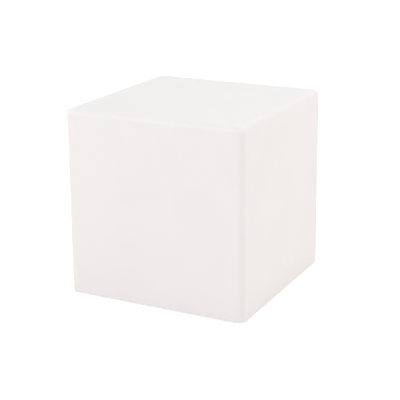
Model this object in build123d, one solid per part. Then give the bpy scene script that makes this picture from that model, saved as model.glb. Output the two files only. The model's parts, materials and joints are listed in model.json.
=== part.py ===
from build123d import *
from math import cos, radians, sin, tan
import os

# A portable cube light for house and garden: one hollow moulded cube of translucent polyethylene, lit from
# below by a sealed light module that is screwed into a recess of its underside. Millimetres, +Z up. The
# origin is on the floor under the middle of the cube. The -Y face is the front.

# ---------------------------------------------------------------- cube shell
CUBE_WIDTH = 400.0  # across two opposite sides, at their bottom edges
CUBE_HEIGHT = 394.0  # from the floor to the top face
SHELL_WALL = 3.5
SIDE_DRAFT = 0.3  # degrees, each side leans in towards the top
UPRIGHT_EDGE_R = 15.0
TOP_EDGE_R = 12.0
BOTTOM_EDGE_R = 2.0
INNER_BOTTOM_R = 5.0

# The underside is drawn up inside a rim, so that only the rim meets the floor.
RIM_WIDTH = 30.0  # from the cube's sides to the recess
UNDERSIDE_DEPTH = 11.0
UNDERSIDE_CORNER_R = 36.0
UNDERSIDE_SLOPE = 30.0  # degrees from upright
UNDERSIDE_FILLET_R = 4.0

# Hollow ribs stiffen the underside between the module and the rim.
RIB_COUNT = 8
RIB_WIDTH = 15.0
RIB_HEIGHT = 5.0
RIB_SLOPE = 22.0
RIB_GAP = 16.0  # from the module's seat to each rib
RIB_MARGIN = 24.0  # from the ribs' ends to the recess's sides
CORNER_RIB_MARGIN = 62.4  # from the corner ribs' ends to where those sides would cross

FOOT_R = 9.0
FOOT_HEIGHT = 3.5
FOOT_PROUD = 1.0  # what stands out of the pocket
FOOT_CLEARANCE = 0.1
FOOT_EDGE_GAP = 11.0  # from the cube's sides to each foot

# ------------------------------------------------- module housing and its seat
CUP_R = 61.5
CUP_WALL = 2.5
CUP_CLEARANCE = 1.0  # between the cup and the shell's opening
FLANGE_WIDTH = 14.0
FLANGE_THICKNESS = 4.0
FLANGE_CLEARANCE = 0.5
FLOOR_THICKNESS = 3.0
GASKET_THICKNESS = 1.5
RIM_BAND = 4.0  # the cup's thickened top
RIM_BAND_HEIGHT = 5.0

FLANGE_BOLT_REACH = 8.0  # from the cup's side to each screw
FLANGE_BOLTS = 6
M4_R = 2.0
M4_CLEARANCE = 0.3  # round the shank
M4_HEAD_R = 4.0
M4_HEAD_HEIGHT = 2.3
M4_LENGTH = 12.0
M4_CROSS_WIDTH = 4.4
M4_CROSS_DEPTH = 1.4
INSERT_WALL = 1.15
INSERT_WAIST_DEPTH = 0.5
INSERT_LENGTH = 9.5
INSERT_BOSS_WALL = 3.0

# A slot-shaped recess of the housing holds the button, the indicator and the charging port.
CONTROLS_END_GAP = 1.1  # from the plug's anchor to the recess's end
CONTROLS_WIDTH = 36.0
CONTROLS_DEPTH = 6.0
CONTROLS_SLOPE = 8.0
CONTROLS_Y = -24.0
CONTROLS_SPACING = 24.0  # of the button and the port from the indicator

# ------------------------------------------------------------- screws inside
M3_R = 1.5
M3_CLEARANCE = 0.25  # round the shank
M3_HEAD_R = 2.8
M3_HEAD_HEIGHT = 1.9
M3_HEAD_FILLET_R = 0.8
M3_CROSS_WIDTH = 3.2
M3_CROSS_DEPTH = 1.1
BOSS_WALL = 1.65
CLAMP_BOSS_WALL = 2.05
WEB_THICKNESS = 2.0  # of the webs that tie the bosses to the cup's wall
WEB_DROP = 6.0  # of a web below its boss's top

# ------------------------------------------------------------ control board
BOARD_THICKNESS = 1.6
BOARD_LENGTH = 70.0
BOARD_MARGIN = 5.95  # from the button's retainer to its long edges
BOARD_GAP = 8.0  # from the floor of the controls' recess to the board
BOARD_CORNER_R = 2.0
BOARD_SCREW_INSET = 3.5
BOARD_SCREW_LENGTH = 5.0  # in its boss
BOARD_PILOT_DEPTH = 6.0
MICROCONTROLLER_SIZE = (7.0, 7.0, 1.4)
MICROCONTROLLER_PLACE = (-10.0, 11.0)  # from the board's middle, as the next places
DRIVER_CHIP_SIZE = (5.0, 4.0, 1.6)
DRIVER_CHIP_PLACES = ((4.0, 12.0), (6.0, 2.0), (16.0, 0.0))
COIL_R = 5.0
COIL_HEIGHT = 5.2
COIL_FLANGE = 1.2
COIL_WINDING_R = 4.2
COIL_PLACE = (6.0, -9.0)
CAPACITOR_R = 3.15
CAPACITOR_HEIGHT = 7.7
CAPACITOR_BASE_SIDE = 6.6
CAPACITOR_BASE_HEIGHT = 1.0
CAPACITOR_PLACES = ((18.0, -12.0), (26.0, -8.0))

# ------------------------------------------------------------------ button
BUTTON_R = 7.0
BUTTON_CLEARANCE = 0.2
BUTTON_PROUD = 1.0
BUTTON_TRAVEL = 0.5
BUTTON_SHOULDER_WIDTH = 1.2
BUTTON_SHOULDER_HEIGHT = 1.2
BUTTON_STEM_R = 2.5
COLLAR_CLEARANCE = 0.3  # round the shoulder
COLLAR_WALL = 2.0
COLLAR_HEIGHT = 4.0
DIAPHRAGM_THICKNESS = 0.8
NUB_HEIGHT = 1.2
RETAINER_WALL = 1.5
SWITCH_SIDE = 6.2
PLUNGER_R = 1.6
STOP_GAP = 0.1  # between flat faces that meet when a piece moves

# ----------------------------------------------------------- charging port
JACK_BORE_R = 2.85
JACK_WALL = 1.15
JACK_DEPTH = 9.5
JACK_BODY_SIDE = 9.6
JACK_RECESS = 0.2  # of its mouth behind the recess floor
CONTACT_R = 1.05
CONTACT_RECESS = 1.2
CONTACT_ROOT_R = 1.5  # of its end in the jack's body
PORT_CLEARANCE = 0.3  # round the jack's nose
PORT_SEAL_THICKNESS = 0.8
PORT_SEAL_WIDTH = 2.2

PLUG_TAB_LAP = 2.2  # past the port's hole
PLUG_TAB_THICKNESS = 1.6
PLUG_BUNG_CLEARANCE = 0.15
PLUG_BUNG_TAPER = 0.5
PLUG_BUNG_WALL = 0.6
PLUG_BUNG_LENGTH = 1.9
PLUG_NECK_LENGTH = 4.5  # from the tab to the hinge
PLUG_NECK_WIDTH = 6.0
PLUG_NECK_R = 0.7
PLUG_HINGE_GAP = 0.3
PLUG_OPEN_ANGLE = 120.0
PLUG_LIP_LENGTH = 3.0
PLUG_LIP_HEIGHT = 1.0
ANCHOR_REACH = 3.6  # from the hinge to the anchor's stem
ANCHOR_PAD_R = 2.3
ANCHOR_STEM_R = 1.5
ANCHOR_BARB_R = 2.3
ANCHOR_BARB_HEIGHT = 1.6

# ---------------------------------------------------------------- indicator
PIPE_R = 2.5
PIPE_FLANGE_WIDTH = 1.1
PIPE_CLEARANCE = 0.1

# ------------------------------------------------------------------ battery
CELL_R = 9.1
CELL_LENGTH = 65.0
CELL_GAP = 0.4
CELL_BUTTON_R = 3.0
CELL_BUTTON_HEIGHT = 0.6
BATTERY_FLOOR_GAP = 1.5
SLEEVE_WALL = 0.3
SLEEVE_CLEARANCE = 0.1
SLEEVE_LIP = 1.5  # by which it falls short of each end of the cells
CRADLE_X = 20.0
CRADLE_THICKNESS = 2.5
CRADLE_CLEARANCE = 0.2
CRADLE_HEIGHT = 11.0
TAB_THICKNESS = 0.3
TAB_WIDTH = 7.0
TAB_REACH = 3.2  # past the cells' axes
PROTECTION_LENGTH = 24.0
PROTECTION_HEIGHT = 14.0
PROTECTION_THICKNESS = 1.0
PROTECTION_CHIP_HEIGHT = 1.2
CLAMP_WIDTH = 14.0
CLAMP_THICKNESS = 2.4
CLAMP_FOOT = 4.2  # from each screw to the ends of the foot
CLAMP_SCREW_GAP = 4.3  # from the sleeve to each screw
CLAMP_RISE = 3.0  # of its feet over the cells' axes
CLAMP_SCREW_LENGTH = 8.0  # in its boss
CLAMP_PILOT_DEPTH = 9.0
CLAMP_BOARD_GAP = 1.5  # from the control board to its nearer foot

# ---------------------------------------------------------------- LED board
LED_BOARD_INSET = 11.5  # of its edge from the cup's side
LED_BOARD_GAP = 8.05  # over the battery's clamp
LED_BOARD_DROP = 6.0  # below the cup's mouth
LED_BOARD_SCREW_INSET = 6.5  # from the board's edge, along X
LED_BOARD_SCREW_Y = 11.6
LED_BOARD_SCREW_LENGTH = 7.0  # in its boss
LED_PILOT_DEPTH = 9.0
LED_SIDE = 5.0
LED_HEIGHT = 1.5
LED_RINGS = ((36.0, 12), (20.0, 6))  # radius and count of each ring
LED_LENS_R = 1.9
LED_LENS_DEPTH = 0.3
RECEIVER_SIDE = 7.0
RECEIVER_HEIGHT = 5.0
RECEIVER_LENS_R = 2.4

# ---------------------------------------------------------------- lens dome
DOME_WALL = 2.0
DOME_INSET = 13.5  # of its foot from the cup's side
DOME_HEIGHT = 26.0
DOME_FLANGE_THICKNESS = 2.5
DOME_SCREW_INSET = 7.0
DOME_SCREWS = 6
DOME_SCREW_LENGTH = 10.0
DOME_BOSS_HEIGHT = 16.0
ORING_SECTION_R = 0.75
ORING_INSET = 2.0
ORING_CLEARANCE = 0.15

# ---------------------------------------------------- connectors and wiring
HEADER_HEIGHT = 6.0
HEADER_DEPTH = 6.5
HEADER_WALL = 0.8
HEADER_PITCH = 2.0
PIN_SIDE = 0.6
PIN_LENGTH = 3.0
PLUG_LENGTH = 7.0
KEY_START = 1.0  # of the plug's key, from its inner end
KEY_HEIGHT = 0.3
WIRE_R = 0.7
WIRE_END = 2.0  # of each wire inside its plug
LED_WIRES = 5
LED_HEADER_X = -27.0
LED_HEADER_Y = -7.0  # from the board's middle
LED_LEAD_REACH = 12.0
BATTERY_WIRES = 2
BATTERY_HEADER_X = 21.0
BATTERY_LEAD_BEND_R = 2.0
BATTERY_LEAD_GAP = 1.7  # from the protection board to the inner wire's axis

# ------------------------------------------------------- places that follow
TINY = 0.05  # clearance of pieces that are fixed in each other
M4_HOLE_R = M4_R + M4_CLEARANCE
INSERT_R = M4_R + INSERT_WALL
M3_PILOT_R = M3_R + TINY
M3_HOLE_R = M3_R + M3_CLEARANCE
BOSS_R = M3_PILOT_R + BOSS_WALL
CLAMP_BOSS_R = M3_PILOT_R + CLAMP_BOSS_WALL
RIM_Z = FOOT_PROUD
UNDERSIDE_SIDE = CUBE_WIDTH - 2 * RIM_WIDTH
FOOT_PLACE = CUBE_WIDTH / 2 - FOOT_EDGE_GAP - FOOT_R
PANEL_Z = RIM_Z + UNDERSIDE_DEPTH
FLANGE_R = CUP_R + FLANGE_WIDTH
FLANGE_BOLT_CIRCLE_R = CUP_R + FLANGE_BOLT_REACH
SEAT_Z = PANEL_Z + FLANGE_THICKNESS + GASKET_THICKNESS
SEAT_R = FLANGE_R + FLANGE_CLEARANCE
OPENING_R = CUP_R + CUP_CLEARANCE
RIB_START = SEAT_R + RIB_GAP
RIB_END = UNDERSIDE_SIDE / 2 - RIB_MARGIN
CORNER_RIB_END = UNDERSIDE_SIDE / 2**0.5 - CORNER_RIB_MARGIN
FLOOR_Z = PANEL_Z + FLOOR_THICKNESS  # inner face of the housing's floor
CONTROLS_Z = PANEL_Z + CONTROLS_DEPTH  # outer face of the recess floor
SHELF_Z = CONTROLS_Z + FLOOR_THICKNESS  # inner face of the recess floor
BOARD_Z = SHELF_Z + BOARD_GAP
BOARD_TOP_Z = BOARD_Z + BOARD_THICKNESS
BUTTON_X = -CONTROLS_SPACING
PORT_X = CONTROLS_SPACING
COLLAR_TOP_Z = SHELF_Z + COLLAR_HEIGHT
BUTTON_SHOULDER_R = BUTTON_R + BUTTON_SHOULDER_WIDTH
COLLAR_INNER_R = BUTTON_SHOULDER_R + COLLAR_CLEARANCE
COLLAR_R = COLLAR_INNER_R + COLLAR_WALL
RETAINER_R = COLLAR_R + TINY + RETAINER_WALL
BOARD_WIDTH = 2 * (RETAINER_R + BOARD_MARGIN)
BOARD_SCREW_X = BOARD_LENGTH / 2 - BOARD_SCREW_INSET
BOARD_SCREW_Y = BOARD_WIDTH / 2 - BOARD_SCREW_INSET
DIAPHRAGM_TOP_Z = COLLAR_TOP_Z + DIAPHRAGM_THICKNESS
NUB_TOP_Z = DIAPHRAGM_TOP_Z + NUB_HEIGHT
JACK_MOUTH_Z = CONTROLS_Z + JACK_RECESS
JACK_NOSE_R = JACK_BORE_R + JACK_WALL
PORT_HOLE_R = JACK_NOSE_R + PORT_CLEARANCE
PORT_SEAL_R = JACK_NOSE_R + PORT_SEAL_WIDTH
PLUG_BUNG_R = JACK_BORE_R - PLUG_BUNG_CLEARANCE
PLUG_BUNG_END_R = PLUG_BUNG_R - PLUG_BUNG_TAPER
PLUG_BUNG_HOLE_R = PLUG_BUNG_END_R - PLUG_BUNG_WALL
PLUG_TAB_R = PORT_HOLE_R + PLUG_TAB_LAP
PLUG_HINGE_REACH = PLUG_TAB_R + PLUG_NECK_LENGTH  # from the port's axis
HINGE_X = PORT_X + PLUG_HINGE_REACH
HINGE_Z = CONTROLS_Z - PLUG_TAB_THICKNESS / 2
ANCHOR_X = HINGE_X + ANCHOR_REACH
CONTROLS_LENGTH = 2 * (ANCHOR_X + ANCHOR_PAD_R + CONTROLS_END_GAP)
PIPE_FLANGE_R = PIPE_R + PIPE_FLANGE_WIDTH
BATTERY_Z = FLOOR_Z + BATTERY_FLOOR_GAP + CELL_R + SLEEVE_CLEARANCE + SLEEVE_WALL
CELL_SPACING = 2 * CELL_R + CELL_GAP
SLEEVE_R = CELL_R + SLEEVE_CLEARANCE + SLEEVE_WALL
BATTERY_END_X = CELL_LENGTH / 2
TAB_LENGTH = CELL_SPACING + 2 * TAB_REACH
CLAMP_SCREW_Y = CELL_SPACING / 2 + SLEEVE_R + CLAMP_SCREW_GAP  # from the battery's middle
BATTERY_Y = CONTROLS_Y + BOARD_WIDTH / 2 + CLAMP_BOARD_GAP + CLAMP_FOOT + CLAMP_SCREW_Y
CLAMP_FOOT_Z = BATTERY_Z + CLAMP_RISE
LED_BOARD_R = CUP_R - LED_BOARD_INSET
LED_BOARD_SCREW_X = LED_BOARD_R - LED_BOARD_SCREW_INSET
LED_BOARD_Z = BATTERY_Z + SLEEVE_R + TINY + CLAMP_THICKNESS + LED_BOARD_GAP
LED_BOARD_TOP_Z = LED_BOARD_Z + BOARD_THICKNESS
CUP_TOP_Z = LED_BOARD_Z + LED_BOARD_DROP
DOME_R = CUP_R - DOME_INSET
DOME_SCREW_CIRCLE_R = CUP_R - DOME_SCREW_INSET
ORING_CIRCLE_R = CUP_R - ORING_INSET
ORING_GROOVE_WIDTH = 2 * (ORING_SECTION_R + ORING_CLEARANCE)


def disc(radius, z_low, z_high, x=0.0, y=0.0):
    """An upright cylinder between two heights."""
    return Pos(x, y, z_low) * Cylinder(
        radius, z_high - z_low, align=(Align.CENTER, Align.CENTER, Align.MIN)
    )


def block(size_x, size_y, z_low, z_high, x=0.0, y=0.0):
    """An upright box between two heights, centred on x and y."""
    return Pos(x, y, z_low) * Box(
        size_x, size_y, z_high - z_low, align=(Align.CENTER, Align.CENTER, Align.MIN)
    )


def around(count, radius, start=0.0):
    """The places of equally spaced pieces on a circle, as (x, y, angle in degrees)."""
    angles = [start + 360.0 * i / count for i in range(count)]
    return [(radius * cos(radians(a)), radius * sin(radians(a)), a) for a in angles]


def revolved(points):
    """A solid of revolution about Z from an outline of (radius, height) points."""
    outline = Polyline(*[(r, 0, z) for r, z in points], close=True)
    return revolve(make_face(Plane.XZ * Plane.XZ.to_local_coords(outline)), Axis.Z)


def tapered(sketch, z_low, height, slope):
    """A flat sketch drawn up from a height, with sides that lean in by slope degrees."""
    return extrude(Pos(0, 0, z_low) * sketch, amount=height, taper=slope)


# ---------------------------------------------------------------- cube shell
def cube_form(inset, bottom_r):
    """The cube's outline with every face moved in by inset."""
    side = CUBE_WIDTH - 2 * inset
    height = CUBE_HEIGHT - RIM_Z - 2 * inset
    outline = RectangleRounded(side, side, UPRIGHT_EDGE_R - inset)
    form = tapered(outline, RIM_Z + inset, height, SIDE_DRAFT)
    form = fillet(form.faces().sort_by(Axis.Z)[-1].edges(), TOP_EDGE_R - inset)
    return fillet(form.faces().sort_by(Axis.Z)[0].edges(), bottom_r)


def underside_form(inset):
    """What is drawn up out of the underside: the recess, its ribs, the module's seat and the foot pockets.
    Taken with the wall as its inset, it is the inner face of the same shape."""
    slant = inset / cos(radians(UNDERSIDE_SLOPE))
    side = UNDERSIDE_SIDE + 2 * slant + 2 * inset * tan(radians(UNDERSIDE_SLOPE))
    recess = tapered(
        RectangleRounded(side, side, UNDERSIDE_CORNER_R + inset),
        RIM_Z - inset,
        UNDERSIDE_DEPTH + 2 * inset,
        UNDERSIDE_SLOPE,
    )
    panel_edges = recess.faces().sort_by(Axis.Z)[-1].edges()
    recess = fillet(panel_edges, UNDERSIDE_FILLET_R + inset)
    for x, y, angle in around(RIB_COUNT, 1.0):
        at_corner = abs(x * y) > 0.1
        end = CORNER_RIB_END if at_corner else RIB_END
        length = end - RIB_START + 2 * inset
        slot = SlotOverall(length, RIB_WIDTH + 2 * inset)
        rib = tapered(slot, PANEL_Z - inset, RIB_HEIGHT + 2 * inset, RIB_SLOPE)
        recess += Rot(0, 0, angle) * Pos((RIB_START + end) / 2, 0, 0) * rib
    recess += disc(SEAT_R + inset, PANEL_Z - inset, SEAT_Z + inset)
    pocket_top = FOOT_HEIGHT + inset
    for x, y, _ in around(4, FOOT_PLACE * 2**0.5, 45):
        recess += disc(FOOT_R + FOOT_CLEARANCE + inset, RIM_Z - inset, pocket_top, x, y)
    return recess


def cube_shell():
    """The hollow cube, one moulding with an even wall, with bosses for the module's threaded inserts."""
    shell = cube_form(0, BOTTOM_EDGE_R) - underside_form(0)
    cavity = cube_form(SHELL_WALL, INNER_BOTTOM_R) - underside_form(SHELL_WALL)
    shell -= cavity
    boss_top = SEAT_Z + INSERT_LENGTH + INSERT_BOSS_WALL
    for x, y, _ in around(FLANGE_BOLTS, FLANGE_BOLT_CIRCLE_R):
        shell += disc(INSERT_R + INSERT_BOSS_WALL, SEAT_Z, boss_top, x, y)
    for x, y, _ in around(FLANGE_BOLTS, FLANGE_BOLT_CIRCLE_R):
        shell -= disc(INSERT_R + TINY, SEAT_Z, SEAT_Z + INSERT_LENGTH + TINY, x, y)
    return shell - disc(OPENING_R, SEAT_Z - 1, SEAT_Z + 2 * SHELL_WALL)


def threaded_inserts():
    """Brass inserts moulded into the seat, with a waist that keys them into the plastic."""
    waist = INSERT_R - INSERT_WAIST_DEPTH
    outline = [
        (M4_R + TINY, SEAT_Z),
        (INSERT_R, SEAT_Z),
        (INSERT_R, SEAT_Z + INSERT_LENGTH * 0.35),
        (waist, SEAT_Z + INSERT_LENGTH * 0.4),
        (waist, SEAT_Z + INSERT_LENGTH * 0.6),
        (INSERT_R, SEAT_Z + INSERT_LENGTH * 0.65),
        (INSERT_R, SEAT_Z + INSERT_LENGTH),
        (M4_R + TINY, SEAT_Z + INSERT_LENGTH),
    ]
    insert = revolved(outline)
    places = around(FLANGE_BOLTS, FLANGE_BOLT_CIRCLE_R)
    return [Pos(x, y, 0) * insert for x, y, _ in places]


def rubber_feet():
    """Soft pads that sit in the rim's four pockets."""
    pad = chamfer(disc(FOOT_R, 0, FOOT_HEIGHT).edges().sort_by(Axis.Z)[0], 0.6)
    return [Pos(x, y, 0) * pad for x, y, _ in around(4, FOOT_PLACE * 2**0.5, 45)]


# ------------------------------------------------------------ module housing
def controls_slot(grow, z_low, height, slope):
    """The slot-shaped outline of the controls' recess, drawn up from a height."""
    slot = SlotOverall(CONTROLS_LENGTH + 2 * grow, CONTROLS_WIDTH + 2 * grow)
    return tapered(Pos(0, CONTROLS_Y) * slot, z_low, height, slope)


def sleeve_form(radius, length):
    """The rounded bar that wraps both cells side by side."""
    outline = SlotOverall(CELL_SPACING + 2 * radius, 2 * radius)
    bar = extrude(Plane.YZ * outline, amount=length / 2, both=True)
    return Pos(0, BATTERY_Y, BATTERY_Z) * bar


def led_board_places():
    """The four bosses that carry the LED board."""
    return [(sx * LED_BOARD_SCREW_X, sy * LED_BOARD_SCREW_Y) for sx in (-1, 1) for sy in (-1, 1)]


def board_places():
    """The four bosses that carry the control board."""
    xs = (-BOARD_SCREW_X, BOARD_SCREW_X)
    return [(x, CONTROLS_Y + sy * BOARD_SCREW_Y) for x in xs for sy in (-1, 1)]


def clamp_places():
    """The two bosses that hold the battery clamp."""
    return [(0, BATTERY_Y - CLAMP_SCREW_Y), (0, BATTERY_Y + CLAMP_SCREW_Y)]


def bosses(places, radius, z_low, z_high):
    """Round posts between two heights."""
    return [disc(radius, z_low, z_high, x, y) for x, y in places]


def pilot_holes(places, depth, z_top):
    """Blind screw holes that open at z_top."""
    return [disc(M3_PILOT_R, z_top - depth, z_top + 1, x, y) for x, y in places]


def module_housing():
    """The module's cup: a flange under the cube's seat, a thin wall and a floor with the controls in it."""
    flange_top = PANEL_Z + FLANGE_THICKNESS
    inner_r = CUP_R - CUP_WALL
    band_r = CUP_R - RIM_BAND
    band_z = CUP_TOP_Z - RIM_BAND_HEIGHT
    outline = [
        (0, PANEL_Z),
        (FLANGE_R, PANEL_Z),
        (FLANGE_R, flange_top),
        (CUP_R, flange_top),
        (CUP_R, CUP_TOP_Z),
        (band_r, CUP_TOP_Z),
        (band_r, band_z),
        (inner_r, band_z - RIM_BAND + CUP_WALL),
        (inner_r, FLOOR_Z),
        (0, FLOOR_Z),
    ]
    cup = revolved(outline)
    rim_edges = cup.edges().filter_by(GeomType.CIRCLE).group_by(Axis.Z)[0]
    cup = chamfer(rim_edges, 0.8)
    cup += controls_slot(FLOOR_THICKNESS, PANEL_Z + 1, SHELF_Z - PANEL_Z - 1, 0)
    cup += bosses(led_board_places(), BOSS_R, FLOOR_Z, LED_BOARD_Z)
    cup += bosses(board_places(), BOSS_R, SHELF_Z - 1, BOARD_Z)
    cup += bosses(clamp_places(), CLAMP_BOSS_R, FLOOR_Z, CLAMP_FOOT_Z)
    dome_places = [(x, y) for x, y, _ in around(DOME_SCREWS, DOME_SCREW_CIRCLE_R)]
    boss_low = CUP_TOP_Z - DOME_BOSS_HEIGHT
    cup += bosses(dome_places, BOSS_R, boss_low, CUP_TOP_Z)
    for x, y, angle in around(DOME_SCREWS, (DOME_SCREW_CIRCLE_R + inner_r) / 2 + 1):
        web = block(inner_r - DOME_SCREW_CIRCLE_R + 1, WEB_THICKNESS, boss_low, CUP_TOP_Z)
        cup += Pos(x, y, 0) * Rot(0, 0, angle) * web
    for x, y in led_board_places():
        side = 1 if x > 0 else -1
        reach = inner_r - abs(x) - 1
        cup += block(reach, WEB_THICKNESS, FLOOR_Z, LED_BOARD_Z - WEB_DROP, x + side * reach / 2, y)
    cup += battery_cradle()
    cup += button_collar()
    cup -= controls_slot(0, PANEL_Z, CONTROLS_DEPTH, CONTROLS_SLOPE)
    cup -= disc(BUTTON_R + BUTTON_CLEARANCE, PANEL_Z, SHELF_Z + 1, BUTTON_X, CONTROLS_Y)
    cup -= disc(PORT_HOLE_R, PANEL_Z, SHELF_Z + 1, PORT_X, CONTROLS_Y)
    cup -= disc(PIPE_R + PIPE_CLEARANCE, PANEL_Z, SHELF_Z + 1, 0, CONTROLS_Y)
    cup -= disc(ANCHOR_STEM_R + TINY, PANEL_Z, SHELF_Z + 1, ANCHOR_X, CONTROLS_Y)
    cup -= pilot_holes(led_board_places(), LED_PILOT_DEPTH, LED_BOARD_Z)
    cup -= pilot_holes(board_places(), BOARD_PILOT_DEPTH, BOARD_Z)
    cup -= pilot_holes(clamp_places(), CLAMP_PILOT_DEPTH, CLAMP_FOOT_Z)
    cup -= pilot_holes(dome_places, DOME_SCREW_LENGTH, CUP_TOP_Z)
    for x, y, _ in around(FLANGE_BOLTS, FLANGE_BOLT_CIRCLE_R):
        cup -= disc(M4_HOLE_R, PANEL_Z - 1, flange_top + 1, x, y)
        cup -= Pos(x, y, 0) * countersink(TINY)
    groove = disc(ORING_CIRCLE_R + ORING_GROOVE_WIDTH / 2, CUP_TOP_Z - 2 * ORING_SECTION_R, CUP_TOP_Z + 1)
    groove -= disc(ORING_CIRCLE_R - ORING_GROOVE_WIDTH / 2, FLOOR_Z, CUP_TOP_Z + 1)
    return cup - groove


def battery_cradle():
    """Two ribs that rise from the housing's floor and hold the cells."""
    depth = CELL_SPACING + 2 * SLEEVE_R + 4
    ribs = [
        block(CRADLE_THICKNESS, depth, FLOOR_Z - 1, FLOOR_Z + CRADLE_HEIGHT, x, BATTERY_Y)
        for x in (-CRADLE_X, CRADLE_X)
    ]
    seat = sleeve_form(SLEEVE_R + CRADLE_CLEARANCE, CELL_LENGTH)
    return [rib - seat for rib in ribs]


def button_collar():
    """The ring round the button's shoulder. The diaphragm closes its top."""
    ring = disc(COLLAR_R, SHELF_Z - 1, COLLAR_TOP_Z, BUTTON_X, CONTROLS_Y)
    return ring - disc(COLLAR_INNER_R, SHELF_Z, COLLAR_TOP_Z + 1, BUTTON_X, CONTROLS_Y)


def countersink(grow):
    """The cone of an M4 countersunk head, point up, with its flat on the flange's face."""
    height = M4_HEAD_HEIGHT + grow
    cone = Cone(M4_HEAD_R + grow, M4_R + grow, height, align=(Align.CENTER, Align.CENTER, Align.MIN))
    return Pos(0, 0, PANEL_Z) * cone


def cross_recess(width, z_low, z_high):
    """The cross that a screwdriver turns."""
    across = block(width, width * 0.22, z_low, z_high)
    return across + block(width * 0.22, width, z_low, z_high)


def module_screws():
    """M4 countersunk screws that hold the module's flange to the threaded inserts."""
    shank = disc(M4_R, PANEL_Z + M4_HEAD_HEIGHT, PANEL_Z + M4_LENGTH)
    screw = countersink(0) + shank - cross_recess(M4_CROSS_WIDTH, PANEL_Z, PANEL_Z + M4_CROSS_DEPTH)
    places = around(FLANGE_BOLTS, FLANGE_BOLT_CIRCLE_R)
    return [Pos(x, y, 0) * Rot(0, 0, 20 * i) * screw for i, (x, y, _) in enumerate(places)]


def module_gasket():
    """A flat silicone ring between the flange and the cube's seat, with a hole for each screw."""
    low = PANEL_Z + FLANGE_THICKNESS
    ring = disc(FLANGE_R - 0.5, low, SEAT_Z) - disc(OPENING_R, low, SEAT_Z)
    for x, y, _ in around(FLANGE_BOLTS, FLANGE_BOLT_CIRCLE_R):
        ring -= disc(M4_HOLE_R, low, SEAT_Z, x, y)
    return ring


def pan_screws(places, z_seat, length):
    """Self-tapping pan-head screws, driven down from a seat height."""
    head = disc(M3_HEAD_R, z_seat, z_seat + M3_HEAD_HEIGHT)
    head = fillet(head.edges().sort_by(Axis.Z)[-1], M3_HEAD_FILLET_R)
    screw = head + disc(M3_R, z_seat - length, z_seat)
    top = z_seat + M3_HEAD_HEIGHT
    screw -= cross_recess(M3_CROSS_WIDTH, top - M3_CROSS_DEPTH, top)
    return [Pos(x, y, 0) * screw for x, y in places]


# -------------------------------------------------------------------- button
def power_button():
    """The push button's cap, with the shoulder that keeps it in and the stem that works the switch."""
    face_z = CONTROLS_Z - BUTTON_PROUD
    shoulder_z = SHELF_Z + STOP_GAP
    cap = disc(BUTTON_R, face_z, shoulder_z)
    cap = fillet(cap.edges().sort_by(Axis.Z)[0], 0.8)
    ring_groove = disc(BUTTON_R * 0.62, face_z, face_z + 0.4) - disc(BUTTON_R * 0.5, face_z, face_z + 0.4)
    cap -= ring_groove
    cap += disc(BUTTON_SHOULDER_R, shoulder_z, shoulder_z + BUTTON_SHOULDER_HEIGHT)
    cap += disc(BUTTON_STEM_R, shoulder_z, COLLAR_TOP_Z - STOP_GAP)
    return Pos(BUTTON_X, CONTROLS_Y, 0) * cap


def button_diaphragm():
    """The silicone sheet that seals the button. Its nub passes the push on to the switch."""
    sheet = disc(COLLAR_R, COLLAR_TOP_Z, DIAPHRAGM_TOP_Z)
    sheet += disc(BUTTON_STEM_R, DIAPHRAGM_TOP_Z, NUB_TOP_Z)
    return Pos(BUTTON_X, CONTROLS_Y, 0) * sheet


def button_retainer():
    """The ring that is pressed over the collar and clamps the diaphragm."""
    inner = COLLAR_R + TINY
    top = DIAPHRAGM_TOP_Z + RETAINER_WALL
    ring = disc(RETAINER_R, SHELF_Z + 0.5, top)
    ring -= disc(inner, SHELF_Z, DIAPHRAGM_TOP_Z)
    return Pos(BUTTON_X, CONTROLS_Y, 0) * (ring - disc(COLLAR_INNER_R, DIAPHRAGM_TOP_Z - 1, top + 1))


def tact_switch():
    """The switch under the control board, with the hole that its plunger travels in."""
    low = NUB_TOP_Z + 2 * STOP_GAP + BUTTON_TRAVEL
    body = block(SWITCH_SIDE, SWITCH_SIDE, low, BOARD_Z)
    body = chamfer(body.edges().filter_by(Axis.Z), 0.5)
    body -= disc(PLUNGER_R + 0.15, low - 1, BOARD_Z - 0.3)
    return Pos(BUTTON_X, CONTROLS_Y, 0) * body


def switch_plunger():
    """The switch's own plunger, which the diaphragm's nub pushes up."""
    low = NUB_TOP_Z + STOP_GAP
    top = BOARD_Z - 0.3 - BUTTON_TRAVEL - STOP_GAP
    return disc(PLUNGER_R, low, top, BUTTON_X, CONTROLS_Y)


# ------------------------------------------------------------- charging port
def charging_jack():
    """The barrel socket under the control board. Its nose stands in the housing's port hole."""
    body_z = SHELF_Z + PORT_SEAL_THICKNESS
    body = block(JACK_BODY_SIDE, JACK_BODY_SIDE, body_z, BOARD_Z)
    body = chamfer(body.edges().filter_by(Axis.Z), 0.6)
    body += disc(JACK_NOSE_R, JACK_MOUTH_Z, body_z)
    body -= disc(JACK_BORE_R, JACK_MOUTH_Z, JACK_MOUTH_Z + JACK_DEPTH)
    body -= disc(CONTACT_ROOT_R + TINY, JACK_MOUTH_Z, BOARD_Z)
    return Pos(PORT_X, CONTROLS_Y, 0) * body


def jack_contact():
    """The centre contact that the charger's plug slides over, with a rounded tip and a thicker root."""
    root_z = JACK_MOUTH_Z + JACK_DEPTH
    pin = disc(CONTACT_R, JACK_MOUTH_Z + CONTACT_RECESS, root_z)
    pin = fillet(pin.edges().sort_by(Axis.Z)[0], 0.5)
    pin += disc(CONTACT_ROOT_R, root_z, BOARD_Z)
    return Pos(PORT_X, CONTROLS_Y, 0) * pin


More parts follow.
